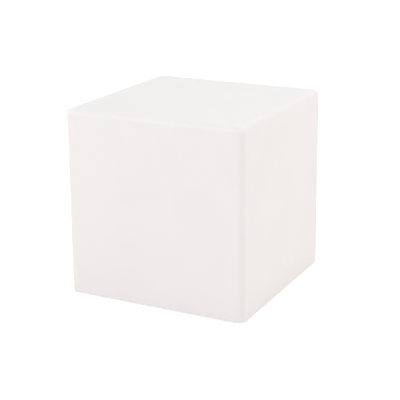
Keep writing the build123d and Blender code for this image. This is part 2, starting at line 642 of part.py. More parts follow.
def port_seal():
    """The ring that seals the jack's shoulder against the housing."""
    ring = disc(PORT_SEAL_R, SHELF_Z, SHELF_Z + PORT_SEAL_THICKNESS)
    ring -= disc(JACK_NOSE_R + TINY, SHELF_Z, SHELF_Z + PORT_SEAL_THICKNESS)
    return Pos(PORT_X, CONTROLS_Y, 0) * ring


def strap_half(grow, width, angle):
    """The strap from its bending line to the tab, with a round end on that line. It is grown all round and
    opened by an angle."""
    half_height = PLUG_NECK_R + grow
    roll = Rot(90, 0, 0) * Cylinder(half_height, width)
    neck = Pos(-PLUG_HINGE_REACH / 2, 0, 0) * Box(PLUG_HINGE_REACH, width, 2 * half_height)
    return Pos(HINGE_X, CONTROLS_Y, HINGE_Z) * Rot(0, -angle, 0) * (roll + neck)


def port_plug():
    """The silicone plug that closes the port: a tab with a hollow bung, a lip to lift and half its strap."""
    low = CONTROLS_Z - PLUG_TAB_THICKNESS
    tab = disc(PLUG_TAB_R, low, CONTROLS_Z, PORT_X, CONTROLS_Y)
    tab = fillet(tab.edges().sort_by(Axis.Z)[0], 0.6)
    tab += strap_half(0, PLUG_NECK_WIDTH, 0)
    lip_x = PORT_X - PLUG_TAB_R + 0.5
    lip = block(PLUG_LIP_LENGTH, PLUG_TAB_R, low - PLUG_LIP_HEIGHT, CONTROLS_Z - 0.3, lip_x, CONTROLS_Y)
    tab += fillet(lip.edges().filter_by(Axis.Y), 0.5)
    bung = Pos(PORT_X, CONTROLS_Y, CONTROLS_Z) * Cone(
        PLUG_BUNG_R, PLUG_BUNG_END_R, PLUG_BUNG_LENGTH, align=(Align.CENTER, Align.CENTER, Align.MIN)
    )
    bung -= disc(PLUG_BUNG_HOLE_R, CONTROLS_Z + 0.4, CONTROLS_Z + 5, PORT_X, CONTROLS_Y)
    return tab + bung


def plug_anchor():
    """The fixed end of the plug's strap, held in the housing by a barb."""
    pad_low = CONTROLS_Z - PLUG_TAB_THICKNESS
    anchor = disc(ANCHOR_PAD_R, pad_low, CONTROLS_Z, ANCHOR_X, CONTROLS_Y)
    strap = Pos((HINGE_X + ANCHOR_X) / 2, CONTROLS_Y, HINGE_Z) * Box(
        ANCHOR_REACH, PLUG_NECK_WIDTH, 2 * PLUG_NECK_R
    )
    anchor += strap
    anchor -= strap_half(PLUG_HINGE_GAP, 4 * PLUG_NECK_WIDTH, 0)
    anchor -= strap_half(PLUG_HINGE_GAP, 4 * PLUG_NECK_WIDTH, PLUG_OPEN_ANGLE)
    anchor += disc(ANCHOR_STEM_R, CONTROLS_Z, SHELF_Z, ANCHOR_X, CONTROLS_Y)
    barb = Cone(
        ANCHOR_BARB_R, ANCHOR_STEM_R - 0.4, ANCHOR_BARB_HEIGHT, align=(Align.CENTER, Align.CENTER, Align.MIN)
    )
    return anchor + Pos(ANCHOR_X, CONTROLS_Y, SHELF_Z) * barb


# ----------------------------------------------------------------- indicator
def indicator_light_pipe():
    """The clear pipe that shows the charging light on the outside."""
    pipe = disc(PIPE_R, CONTROLS_Z - 0.4, BOARD_Z - 2.2)
    pipe = fillet(pipe.edges().sort_by(Axis.Z)[0], 0.5)
    pipe += disc(PIPE_FLANGE_R, SHELF_Z, SHELF_Z + 1)
    return Pos(0, CONTROLS_Y, 0) * pipe


def indicator_led():
    """The small LED under the control board, over the light pipe."""
    return block(3.2, 2.8, BOARD_Z - 1.9, BOARD_Z, 0, CONTROLS_Y)


# ---------------------------------------------------- connectors and wiring
def header_width(pins):
    """The outer width of a header, across its row of pins."""
    return pins * HEADER_PITCH + 2 * HEADER_WALL + 0.8


def pin_row(pins, side, x_low, x_high):
    """Square pins along X, in a row across Y."""
    ys = [(i - (pins - 1) / 2) * HEADER_PITCH for i in range(pins)]
    middle = (x_low + x_high) / 2
    return [Pos(middle, y, HEADER_HEIGHT / 2) * Box(x_high - x_low, side, side) for y in ys]


def key_width(pins):
    """The width of the key that lets a plug in one way round only."""
    return pins * HEADER_PITCH / 3


def header(pins):
    """A board header that stands on z = 0 and opens towards +X, with its back at x = 0."""
    width = header_width(pins)
    shroud = block(HEADER_DEPTH, width, 0, HEADER_HEIGHT, HEADER_DEPTH / 2)
    inner_x = HEADER_WALL + HEADER_DEPTH
    hollow = block(
        2 * HEADER_DEPTH, width - 2 * HEADER_WALL, HEADER_WALL, HEADER_HEIGHT - HEADER_WALL, inner_x
    )
    notch_x = HEADER_WALL + KEY_START - TINY + HEADER_DEPTH
    notch = block(2 * HEADER_DEPTH, key_width(pins) + 0.4, HEADER_HEIGHT / 2, 2 * HEADER_HEIGHT, notch_x)
    return shroud - hollow - notch + pin_row(pins, PIN_SIDE, HEADER_WALL / 2, HEADER_WALL + PIN_LENGTH)


def plug(pins):
    """The plug that is pushed into a header, in the header's own place."""
    width = header_width(pins) - 2 * HEADER_WALL - 2 * TINY
    low = HEADER_WALL + TINY
    body = block(PLUG_LENGTH, width, low, HEADER_HEIGHT - low, HEADER_WALL + PLUG_LENGTH / 2)
    body = chamfer(body.edges().filter_by(Axis.Y).sort_by(Axis.X)[-2:], 0.4)
    key_x = HEADER_WALL + (PLUG_LENGTH + KEY_START) / 2
    key_top = HEADER_HEIGHT + KEY_HEIGHT
    body += block(PLUG_LENGTH - KEY_START, key_width(pins), HEADER_HEIGHT / 2, key_top, key_x)
    body -= pin_row(pins, PIN_SIDE + 2 * TINY, 0, HEADER_WALL + PIN_LENGTH + TINY)
    end = HEADER_WALL + PLUG_LENGTH
    for i in range(pins):
        y = (i - (pins - 1) / 2) * HEADER_PITCH
        hole = Pos(end, y, HEADER_HEIGHT / 2) * Rot(0, 90, 0) * Cylinder(WIRE_R + TINY, 2 * WIRE_END)
        body -= hole
    return body


def header_frames():
    """Where the headers stand: the LED header of the control board, the one under the LED board, and the
    battery's."""
    on_board = Pos(LED_HEADER_X, CONTROLS_Y + LED_HEADER_Y, BOARD_TOP_Z)
    under_leds = Pos(LED_HEADER_X, CONTROLS_Y + LED_HEADER_Y, LED_BOARD_Z) * Rot(180, 0, 0)
    board_edge_y = CONTROLS_Y + BOARD_WIDTH / 2
    battery = Pos(BATTERY_HEADER_X, board_edge_y - HEADER_DEPTH, BOARD_TOP_Z) * Rot(0, 0, 90)
    return on_board, under_leds, battery


def led_headers():
    """The two headers of the LED lead."""
    on_board, under_leds, _ = header_frames()
    return [on_board * header(LED_WIRES), under_leds * header(LED_WIRES)]


def led_plugs():
    """The two plugs of the LED lead."""
    on_board, under_leds, _ = header_frames()
    return [on_board * plug(LED_WIRES), under_leds * plug(LED_WIRES)]


def battery_header():
    """The battery's header at the control board's edge."""
    return header_frames()[2] * header(BATTERY_WIRES)


def battery_plug():
    """The plug on the battery's wires."""
    return header_frames()[2] * plug(BATTERY_WIRES)


def wire(points, bend_r):
    """A round wire along straight runs with rounded bends."""
    path = FilletPolyline(*points, radius=bend_r)
    return sweep((path ^ 0) * Circle(WIRE_R), path=path)


def led_lead():
    """The ribbon of wires that carries the current and the remote's signal between the two boards."""
    start = LED_HEADER_X + HEADER_WALL + PLUG_LENGTH - WIRE_END
    end = start + WIRE_END + LED_LEAD_REACH
    low = BOARD_TOP_Z + HEADER_HEIGHT / 2
    high = LED_BOARD_Z - HEADER_HEIGHT / 2
    bend_r = (high - low) / 2 - 2 * TINY
    middle_y = CONTROLS_Y + LED_HEADER_Y
    ys = [middle_y + (i - (LED_WIRES - 1) / 2) * HEADER_PITCH for i in range(LED_WIRES)]
    return [
        wire([(start, y, low), (end, y, low), (end, y, high), (start, y, high)], bend_r)
        for y in ys
    ]


def battery_lead(is_outer):
    """One wire from the battery's plug, round the end of the cells, to the protection board."""
    step = HEADER_PITCH
    start_y = CONTROLS_Y + BOARD_WIDTH / 2 - HEADER_DEPTH + HEADER_WALL + PLUG_LENGTH - WIRE_END
    start_x = BATTERY_HEADER_X + (step / 2 if is_outer else -step / 2)
    run_y = start_y + WIRE_END + BATTERY_LEAD_BEND_R + (1 if is_outer else 1 + step)
    board_x = protection_board_x() + PROTECTION_THICKNESS
    run_x = board_x + BATTERY_LEAD_GAP + (step if is_outer else 0)
    end_y = BATTERY_Y - (step if is_outer else 3 * step)
    z = BOARD_TOP_Z + HEADER_HEIGHT / 2
    points = [
        (start_x, start_y, z),
        (start_x, run_y, z),
        (run_x, run_y, z),
        (run_x, end_y, z),
        (board_x, end_y, z),
    ]
    return wire(points, BATTERY_LEAD_BEND_R - 0.6)


def battery_lead_red():
    """The positive wire."""
    return battery_lead(False)


def battery_lead_black():
    """The negative wire."""
    return battery_lead(True)


# ------------------------------------------------------------ control board
def control_board():
    """The board that carries the charger, the light's driver and the switch."""
    outline = RectangleRounded(BOARD_LENGTH, BOARD_WIDTH, BOARD_CORNER_R)
    plate = extrude(Pos(0, CONTROLS_Y, BOARD_Z) * outline, BOARD_THICKNESS)
    for x, y in board_places():
        plate -= disc(M3_HOLE_R, BOARD_Z - 1, BOARD_TOP_Z + 1, x, y)
    return plate


def control_board_screws():
    """The screws that hold the control board to its bosses."""
    return pan_screws(board_places(), BOARD_TOP_Z, BOARD_THICKNESS + BOARD_SCREW_LENGTH)


def chip(size, place, legs):
    """A chip on the control board, with a row of flat legs along two of its sides."""
    size_x, size_y, height = size
    x, y = place[0], CONTROLS_Y + place[1]
    body = block(size_x, size_y, BOARD_TOP_Z + 0.1, BOARD_TOP_Z + height, x, y)
    body = chamfer(body.edges().group_by(Axis.Z)[-1], 0.2)
    pitch = size_x / legs
    for i in range(legs):
        leg_x = x + (i - (legs - 1) / 2) * pitch
        body += block(pitch * 0.45, size_y + 2, BOARD_TOP_Z, BOARD_TOP_Z + 0.4, leg_x, y)
    return body


def microcontroller():
    """The chip that reads the button and the remote and sets the colour."""
    return chip(MICROCONTROLLER_SIZE, MICROCONTROLLER_PLACE, 8)


def driver_chips():
    """The charger, the step-up driver and the LED switch."""
    return [chip(DRIVER_CHIP_SIZE, place, 4) for place in DRIVER_CHIP_PLACES]


def boost_coil():
    """A drum-core coil: two flanges with the winding between them."""
    low = BOARD_TOP_Z
    high = low + COIL_HEIGHT
    coil = disc(COIL_R, low, low + COIL_FLANGE) + disc(COIL_R, high - COIL_FLANGE, high)
    coil += disc(COIL_WINDING_R, low, high - COIL_FLANGE / 2)
    x, y = COIL_PLACE
    return Pos(x, CONTROLS_Y + y, 0) * chamfer(coil.edges().sort_by(Axis.Z)[-1], 0.4)


def capacitors():
    """Two upright electrolytic capacitors with their rolled-in necks and square feet."""
    low = BOARD_TOP_Z
    base_top = low + CAPACITOR_BASE_HEIGHT
    can = disc(CAPACITOR_R, base_top, low + CAPACITOR_HEIGHT)
    can = fillet(can.edges().sort_by(Axis.Z)[-1], 0.5)
    can -= Pos(0, 0, base_top + 0.9) * Torus(CAPACITOR_R + 0.2, 0.4)
    can += block(CAPACITOR_BASE_SIDE, CAPACITOR_BASE_SIDE, low, base_top)
    return [Pos(x, CONTROLS_Y + y, 0) * can for x, y in CAPACITOR_PLACES]


# ------------------------------------------------------------------ battery
def battery_cells():
    """Two cylindrical lithium cells side by side, joined in parallel."""
    cell = Rot(0, 90, 0) * Cylinder(CELL_R, CELL_LENGTH)
    cell = fillet(cell.edges(), 0.6)
    cap_length = CELL_BUTTON_HEIGHT + 1
    cap = Rot(0, 90, 0) * Cylinder(CELL_BUTTON_R, cap_length)
    cell += Pos(BATTERY_END_X - 1 + cap_length / 2, 0, 0) * cap
    return [Pos(0, BATTERY_Y + s * CELL_SPACING / 2, BATTERY_Z) * cell for s in (-1, 1)]


def battery_sleeve():
    """The shrunk film that holds the two cells together."""
    length = CELL_LENGTH - 2 * SLEEVE_LIP
    return sleeve_form(SLEEVE_R, length) - sleeve_form(SLEEVE_R - SLEEVE_WALL, 2 * length)


def battery_tabs():
    """Nickel strips welded across both ends of the cells."""
    plus_x = BATTERY_END_X + CELL_BUTTON_HEIGHT + TAB_THICKNESS / 2
    minus_x = -BATTERY_END_X - TAB_THICKNESS / 2
    strip = Box(TAB_THICKNESS, TAB_LENGTH, TAB_WIDTH)
    return [Pos(x, BATTERY_Y, BATTERY_Z) * strip for x in (plus_x, minus_x)]


def protection_board_x():
    """The face of the protection board that lies against the positive strip."""
    return BATTERY_END_X + CELL_BUTTON_HEIGHT + TAB_THICKNESS + STOP_GAP


def protection_board():
    """The small upright board that guards the cells against overcharge and short circuit."""
    low = BATTERY_Z - PROTECTION_HEIGHT / 2 + 2
    x = protection_board_x() + PROTECTION_THICKNESS / 2
    return block(PROTECTION_THICKNESS, PROTECTION_LENGTH, low, low + PROTECTION_HEIGHT, x, BATTERY_Y)


def protection_chips():
    """The protection board's two chips."""
    x = protection_board_x() + PROTECTION_THICKNESS + PROTECTION_CHIP_HEIGHT / 2
    chip_form = Box(PROTECTION_CHIP_HEIGHT, 4, 5)
    return [Pos(x, BATTERY_Y + y, BATTERY_Z) * chip_form for y in (-3, 4)]


def battery_clamp():
    """The strap that is screwed down over the battery."""
    inner = SLEEVE_R + TINY
    strap = sleeve_form(inner + CLAMP_THICKNESS, CLAMP_WIDTH)
    foot_length = 2 * (CLAMP_SCREW_Y + CLAMP_FOOT)
    foot_top = CLAMP_FOOT_Z + CLAMP_THICKNESS
    strap -= block(2 * CLAMP_WIDTH, foot_length, 0, CLAMP_FOOT_Z, 0, BATTERY_Y)
    feet = block(CLAMP_WIDTH, foot_length, CLAMP_FOOT_Z, foot_top, 0, BATTERY_Y)
    strap += fillet(feet.edges().filter_by(Axis.Z), 2)
    strap -= sleeve_form(inner, 2 * CLAMP_WIDTH)
    for x, y in clamp_places():
        strap -= disc(M3_HOLE_R, CLAMP_FOOT_Z - 1, foot_top + 1, x, y)
    return strap


def clamp_screws():
    """The clamp's two screws."""
    seat = CLAMP_FOOT_Z + CLAMP_THICKNESS
    return pan_screws(clamp_places(), seat, CLAMP_THICKNESS + CLAMP_SCREW_LENGTH)


# ------------------------------------------------------- LED board and dome
def led_board():
    """The round board that carries the light's LEDs."""
    plate = disc(LED_BOARD_R, LED_BOARD_Z, LED_BOARD_TOP_Z)
    for x, y in led_board_places():
        plate -= disc(M3_HOLE_R, LED_BOARD_Z - 1, LED_BOARD_TOP_Z + 1, x, y)
    return plate


def led_board_screws():
    """The screws that hold the LED board to its bosses."""
    return pan_screws(led_board_places(), LED_BOARD_TOP_Z, BOARD_THICKNESS + LED_BOARD_SCREW_LENGTH)


def led_chips():
    """The colour LEDs, each a white frame round its lens pocket, in two rings."""
    low = LED_BOARD_TOP_Z
    frame = block(LED_SIDE, LED_SIDE, low, low + LED_HEIGHT)
    frame -= disc(LED_LENS_R, low + LED_HEIGHT - LED_LENS_DEPTH, low + LED_HEIGHT)
    places = [place for radius, count in LED_RINGS for place in around(count, radius)]
    return [Pos(x, y, 0) * Rot(0, 0, angle) * frame for x, y, angle in places]


def remote_receiver():
    """The infrared receiver in the middle of the LED board, which sees the remote through the shell."""
    top = LED_BOARD_TOP_Z + RECEIVER_HEIGHT
    body = block(RECEIVER_SIDE, RECEIVER_SIDE, LED_BOARD_TOP_Z, top)
    body = chamfer(body.edges().filter_by(Axis.Z), 0.8)
    lens = Pos(0, 0, top) * Sphere(RECEIVER_LENS_R)
    return body + (lens - block(4 * RECEIVER_LENS_R, 4 * RECEIVER_LENS_R, 0, top - 1))


def lens_dome():
    """The clear cover over the LEDs: a screwed-down flange that rises into a dome."""
    flange_top = CUP_TOP_Z + DOME_FLANGE_THICKNESS
    sphere_r = (DOME_R**2 + DOME_HEIGHT**2) / (2 * DOME_HEIGHT)
    centre = Pos(0, 0, flange_top + DOME_HEIGHT - sphere_r)
    below = block(4 * CUP_R, 4 * CUP_R, CUP_TOP_Z - 4 * CUP_R, CUP_TOP_Z)
    dome = disc(CUP_R, CUP_TOP_Z, flange_top) + (centre * Sphere(sphere_r) - below)
    inside_corner = dome.edges().filter_by(GeomType.CIRCLE).group_by(SortBy.RADIUS)[0]
    dome = fillet(inside_corner, 1.2) - centre * Sphere(sphere_r - DOME_WALL)
    for x, y, _ in around(DOME_SCREWS, DOME_SCREW_CIRCLE_R):
        dome -= disc(M3_HOLE_R, CUP_TOP_Z - 1, flange_top + 1, x, y)
    return dome


def lens_oring():
    """The seal in the groove of the cup's rim."""
    return Pos(0, 0, CUP_TOP_Z - ORING_SECTION_R) * Torus(ORING_CIRCLE_R, ORING_SECTION_R)


def lens_screws():
    """The screws that hold the dome to the cup."""
    places = [(x, y) for x, y, _ in around(DOME_SCREWS, DOME_SCREW_CIRCLE_R)]
    seat = CUP_TOP_Z + DOME_FLANGE_THICKNESS
    return pan_screws(places, seat, DOME_FLANGE_THICKNESS + DOME_SCREW_LENGTH - 2)


# ------------------------------------------------------------------- export
PIECES = (
    cube_shell,
    threaded_inserts,
    rubber_feet,
    module_gasket,
    module_housing,
    module_screws,
    power_button,
    button_diaphragm,
    button_retainer,
    tact_switch,
    switch_plunger,
    charging_jack,
    jack_contact,
    port_seal,
    port_plug,
    plug_anchor,
    indicator_light_pipe,
    indicator_led,
    control_board,
    control_board_screws,
    microcontroller,
    driver_chips,
    boost_coil,
    capacitors,
    led_headers,
    led_plugs,
    led_lead,
    battery_header,
    battery_plug,
    battery_lead_red,
    battery_lead_black,
    battery_cells,
    battery_sleeve,
    battery_tabs,
    protection_board,
    protection_chips,
    battery_clamp,
    clamp_screws,
    led_board,
    led_board_screws,
    led_chips,
    remote_receiver,
    lens_dome,
    lens_oring,
    lens_screws,
)

if __name__ == "__main__":
    os.makedirs("parts", exist_ok=True)
    for piece in PIECES:
        made = piece()
        shape = Compound(children=made) if isinstance(made, list) else made
        export_step(shape, f"parts/{piece.__name__}.step")
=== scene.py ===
import json
import math

import bmesh
import bpy
from mathutils import Matrix, Vector


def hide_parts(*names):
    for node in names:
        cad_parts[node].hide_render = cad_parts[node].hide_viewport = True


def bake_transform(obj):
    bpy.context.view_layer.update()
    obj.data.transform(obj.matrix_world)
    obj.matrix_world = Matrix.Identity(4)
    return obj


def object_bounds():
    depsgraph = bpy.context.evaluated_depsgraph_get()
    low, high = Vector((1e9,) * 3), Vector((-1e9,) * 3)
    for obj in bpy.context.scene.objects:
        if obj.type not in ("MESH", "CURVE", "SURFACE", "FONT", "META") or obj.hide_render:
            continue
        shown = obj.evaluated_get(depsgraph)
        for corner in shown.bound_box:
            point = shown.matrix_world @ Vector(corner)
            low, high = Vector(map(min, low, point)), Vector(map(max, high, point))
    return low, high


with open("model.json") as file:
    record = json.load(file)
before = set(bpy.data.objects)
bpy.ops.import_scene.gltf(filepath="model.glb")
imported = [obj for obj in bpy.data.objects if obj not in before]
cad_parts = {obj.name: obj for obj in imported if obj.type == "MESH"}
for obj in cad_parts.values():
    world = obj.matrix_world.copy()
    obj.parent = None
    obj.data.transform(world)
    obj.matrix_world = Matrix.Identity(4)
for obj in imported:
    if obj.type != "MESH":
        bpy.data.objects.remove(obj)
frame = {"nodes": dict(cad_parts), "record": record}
nodes = frame["nodes"]
cad_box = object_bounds()
MM = 0.001  # in metres
WHITE = (1.0, 1.0, 1.0, 1.0)


# ----------------------------------------------------------------------- objects
def add_object(name, data):
    """A new object in the scene."""
    made = bpy.data.objects.new(name, data)
    bpy.context.scene.collection.objects.link(made)
    return made


def mesh_of(bm, name):
    """The mesh of a bmesh, which is freed."""
    mesh = bpy.data.meshes.new(name)
    bm.to_mesh(mesh)
    bm.free()
    return mesh


def direction(azimuth, elevation):
    """The way out from the object at these angles in degrees. Azimuth 0 is -Y, its front, and 90 is +X."""
    a, e = math.radians(azimuth), math.radians(elevation)
    return Vector((math.sin(a) * math.cos(e), -math.cos(a) * math.cos(e), math.sin(e)))


# ------------------------------------------------------------------ shader nodes
NOISE_LOW, NOISE_HIGH = 0.3, 0.7  # nearly all of a noise texture lies between these


def srgb(red, green, blue):
    """An sRGB colour of 0 to 255 as a linear one."""
    linear = [v / 255 / 12.92 if v <= 10 else ((v / 255 + 0.055) / 1.055) ** 2.4 for v in (red, green, blue)]
    return (*linear, 1.0)


def add_node(tree, kind, inputs=None, **settings):
    """A shader node with its settings, and with its inputs set or linked."""
    made = tree.nodes.new(kind)
    for name, value in settings.items():
        setattr(made, name, value)
    for name, value in (inputs or {}).items():
        if isinstance(value, bpy.types.NodeSocket):
            tree.links.new(value, made.inputs[name])
        else:
            made.inputs[name].default_value = value
    return made


def calculate(tree, operation, first, second):
    """The result of a Math node."""
    return add_node(tree, "ShaderNodeMath", {0: first, 1: second}, operation=operation).outputs[0]


def calculate_vector(tree, operation, first, second=(0.0, 0.0, 0.0)):
    """The result of a Vector Math node. One that takes a single vector ignores the second."""
    made = add_node(tree, "ShaderNodeVectorMath", {0: first, 1: second}, operation=operation)
    return made.outputs["Value" if operation == "LENGTH" else "Vector"]


def new_material(name, roughness, **sockets):
    """A material, its tree, its shader and the object's coordinates. Sockets name the shader's own inputs
    that are the same all over. Where a texture changes the roughness, the number is about its mean."""
    mat = bpy.data.materials.new(name)
    mat.use_nodes = True
    tree = mat.node_tree
    shader = tree.nodes["Principled BSDF"]
    shader.inputs["Roughness"].default_value = roughness
    for socket, value in sockets.items():
        shader.inputs[socket.replace("_", " ")].default_value = value
    coords = add_node(tree, "ShaderNodeTexCoord").outputs["Object"]
    return mat, tree, shader, coords


def bare_tree(owner):
    """The emptied node tree of a material or world."""
    owner.use_nodes = True
    owner.node_tree.nodes.clear()
    return owner.node_tree


def noise(tree, coords, scale, detail=2.0, roughness=0.5):
    """A noise texture of features about 1/scale metres across."""
    inputs = {"Vector": coords, "Scale": scale, "Detail": detail, "Roughness": roughness}
    return add_node(tree, "ShaderNodeTexNoise", inputs).outputs["Fac"]


def shades(tree, factor, dark, light, start=NOISE_LOW, end=NOISE_HIGH):
    """A colour that goes from dark to light as the factor goes from start to end."""
    ramp = add_node(tree, "ShaderNodeValToRGB", {"Fac": factor})
    for element, position, colour in zip(ramp.color_ramp.elements, (start, end), (dark, light)):
        element.position = position
        element.color = colour
    return ramp.outputs["Color"]


def spread(tree, factor, low, high, start=NOISE_LOW, end=NOISE_HIGH):
    """A number that goes from low to high as the factor goes from start to end."""
    inputs = {"Value": factor, "From Min": start, "From Max": end, "To Min": low, "To Max": high}
    return add_node(tree, "ShaderNodeMapRange", inputs).outputs["Result"]


def bump(tree, height, distance, strength=1.0, under=None):
    """A bump whose height is in metres at full strength, on top of another one if that is given."""
    inputs = {"Height": height, "Distance": distance, "Strength": strength}
    if under is not None:
        inputs["Normal"] = under
    return add_node(tree, "ShaderNodeBump", inputs).outputs["Normal"]


def feed(tree, shader, **sources):
    """Links sources into the shader's inputs."""
    for socket, source in sources.items():
        tree.links.new(source, shader.inputs[socket.replace("_", " ")])


def seen_by(tree, path):
    """1 for a ray that shows the surface: the camera's, a reflection's or one through a clear piece. 0 for a
    ray that only brings light."""
    seen = calculate(tree, "MAXIMUM", path["Is Camera Ray"], path["Is Glossy Ray"])
    return calculate(tree, "MAXIMUM", seen, path["Is Transmission Ray"])


# --------------------------------------------------------------------- materials
# name: light tone, dark tone (sRGB), roughness, grains per metre, depth of the grain in metres
MOULDED = {
    "housing_abs": ((226, 225, 222), (221, 220, 217), 0.48, 1500.0, 0.00004),
    "grey_silicone": ((152, 153, 154), (142, 143, 145), 0.55, 1200.0, 0.00002),
    "foot_rubber": ((120, 120, 119), (108, 108, 108), 0.7, 900.0, 0.00005),
    "button_rubber": ((104, 106, 108), (94, 96, 98), 0.5, 1300.0, 0.00002),
    "black_plastic": ((44, 44, 46), (36, 36, 38), 0.5, 1500.0, 0.00003),
    "white_nylon": ((236, 233, 224), (229, 226, 216), 0.45, 1200.0, 0.00003),
    "led_white": ((244, 241, 214), (238, 230, 180), 0.25, 1500.0, 0.00001),
    "blue_film": ((46, 96, 168), (38, 84, 154), 0.22, 500.0, 0.00002),
    "wire_red": ((186, 38, 34), (170, 30, 28), 0.45, 1500.0, 0.00002),
    "wire_black": ((38, 38, 38), (30, 30, 30), 0.45, 1500.0, 0.00002),
    "wire_ribbon": ((204, 203, 198), (192, 191, 186), 0.45, 1500.0, 0.00002),
}
# name: light tone, dark tone (sRGB), roughness, brush marks per metre
METALS = {
    "stainless": ((214, 213, 210), (190, 189, 187), 0.3, 3000.0),
    "zinc_plated_steel": ((204, 206, 210), (180, 183, 190), 0.34, 2500.0),
    "brass": ((226, 198, 132), (204, 172, 104), 0.3, 2500.0),
    "nickel_strip": ((216, 213, 207), (196, 193, 187), 0.25, 2000.0),
    "copper_winding": ((206, 132, 92), (170, 96, 62), 0.3, 4000.0),
    "capacitor_can": ((216, 217, 219), (198, 200, 203), 0.3, 1800.0),
    "cell_steel": ((206, 206, 205), (188, 188, 188), 0.28, 1500.0),
}
# name: solder mask, mask over the tracks (sRGB)
BOARDS = {
    "green_board": ((20, 96, 58), (38, 122, 78)),
    "white_board": ((232, 233, 230), (222, 224, 220)),
}


def polyethylene():
    """Rotomoulded translucent white polyethylene: satin, with the mould's fine orange peel, a few pits and a
    very faint cloudiness."""
    mat, tree, shader, coords = new_material(
        "shell_polyethylene",
        0.42,
        Subsurface_Weight=0.25,
        Subsurface_Scale=0.006,
        Subsurface_Radius=(1.0, 0.92, 0.85),
        IOR=1.5,
    )
    cloud = noise(tree, coords, 9.0, 4.0, 0.55)
    tone = shades(tree, cloud, srgb(241, 238, 236), srgb(243, 240, 238))
    grain = noise(tree, coords, 420.0, 3.0, 0.6)
    peel = noise(tree, coords, 60.0)
    cells = add_node(tree, "ShaderNodeTexVoronoi", {"Vector": coords, "Scale": 260.0, "Randomness": 1.0})
    pits = spread(tree, cells.outputs["Distance"], 0.0, 1.0, 0.0, 0.12)
    normal = bump(tree, peel, 0.00012)
    normal = bump(tree, grain, 0.00006, under=normal)
    normal = bump(tree, pits, 0.00002, 0.6, normal)
    feed(tree, shader, Base_Color=tone, Roughness=spread(tree, grain, 0.38, 0.48), Normal=normal)
    return mat


def moulded(name, light, dark, roughness, grain_scale, grain_depth):
    """An injection-moulded plastic or rubber with a fine texture and a slight change of tone."""
    mat, tree, shader, coords = new_material(name, roughness)
    cloud = noise(tree, coords, 40.0, 3.0)
    grain = noise(tree, coords, grain_scale, 3.0, 0.65)
    feed(
        tree,
        shader,
        Base_Color=shades(tree, cloud, srgb(*dark), srgb(*light)),
        Roughness=spread(tree, grain, roughness - 0.06, roughness + 0.08),
        Normal=bump(tree, grain, grain_depth),
    )
    return mat


def metal(name, light, dark, roughness, brush_scale):
    """A bright metal with a fine brushed or turned finish, whose marks are long along Y."""
    mat, tree, shader, coords = new_material(name, roughness, Metallic=1.0)
    scale = (brush_scale, brush_scale * 0.06, brush_scale)
    stretched = add_node(tree, "ShaderNodeMapping", {"Vector": coords, "Scale": scale}).outputs["Vector"]
    brush = noise(tree, stretched, 1.0, 3.0, 0.6)
    feed(
        tree,
        shader,
        Base_Color=shades(tree, brush, srgb(*dark), srgb(*light), 0.25, 0.75),
        Roughness=spread(tree, brush, roughness - 0.07, roughness + 0.1),
        Normal=bump(tree, brush, 0.00001),
    )
    return mat


def circuit_board(name, mask, track):
    """Solder mask over copper tracks, which stand up a little."""
    mat, tree, shader, coords = new_material(name, 0.32, Coat_Weight=0.3)
    plain, raised = srgb(*mask), srgb(*track)
    inputs = {"Scale": 90.0, "Mortar Size": 0.03, "Color1": plain, "Color2": plain, "Mortar": raised}
    tracks = add_node(tree, "ShaderNodeTexBrick", {"Vector": coords, **inputs}).outputs
    lift = calculate(tree, "SUBTRACT", 1.0, tracks["Fac"])
    feed(tree, shader, Base_Color=tracks["Color"], Normal=bump(tree, lift, 0.00003))
    return mat


def clear_polycarbonate():
    """The clear moulding of the dome."""
    mat, tree, shader, coords = new_material(
        "clear_polycarbonate", 0.06, Transmission_Weight=1.0, IOR=1.58, Base_Color=srgb(246, 249, 250)
    )
    ripple = noise(tree, coords, 120.0)
    feed(tree, shader, Normal=bump(tree, ripple, 0.00002), Roughness=spread(tree, ripple, 0.04, 0.1))
    return mat


def milky_polycarbonate():
    """The frosted end of the indicator's light pipe, which spreads the light of the diode behind it."""
    mat, tree, shader, coords = new_material(
        "milky_polycarbonate",
        0.3,
        Transmission_Weight=0.3,
        IOR=1.58,
        Subsurface_Weight=0.3,
        Subsurface_Scale=0.001,
    )
    haze = noise(tree, coords, 700.0, 3.0)
    feed(
        tree,
        shader,
        Base_Color=shades(tree, haze, srgb(222, 226, 226), srgb(234, 238, 238)),
        Roughness=spread(tree, haze, 0.26, 0.4),
        Normal=bump(tree, haze, 0.00002),
    )
    return mat


def make_materials():
    """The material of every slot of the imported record."""
    made = {"shell_polyethylene": polyethylene(), "clear_polycarbonate": clear_polycarbonate()}
    for maker, table in ((moulded, MOULDED), (metal, METALS), (circuit_board, BOARDS)):
        for name, values in table.items():
            made[name] = maker(name, *values)
    return made


def finish_nodes(materials):
    """Gives every CAD node the material of its slot. The light pipe is frosted, where the dome is clear."""
    for part in frame["record"]["subparts"]:
        shown = nodes[part["node"]]
        shown.data.materials.clear()
        shown.data.materials.append(materials[part["material_slot"]])
    nodes["indicator_light_pipe"].data.materials[0] = milky_polycarbonate()


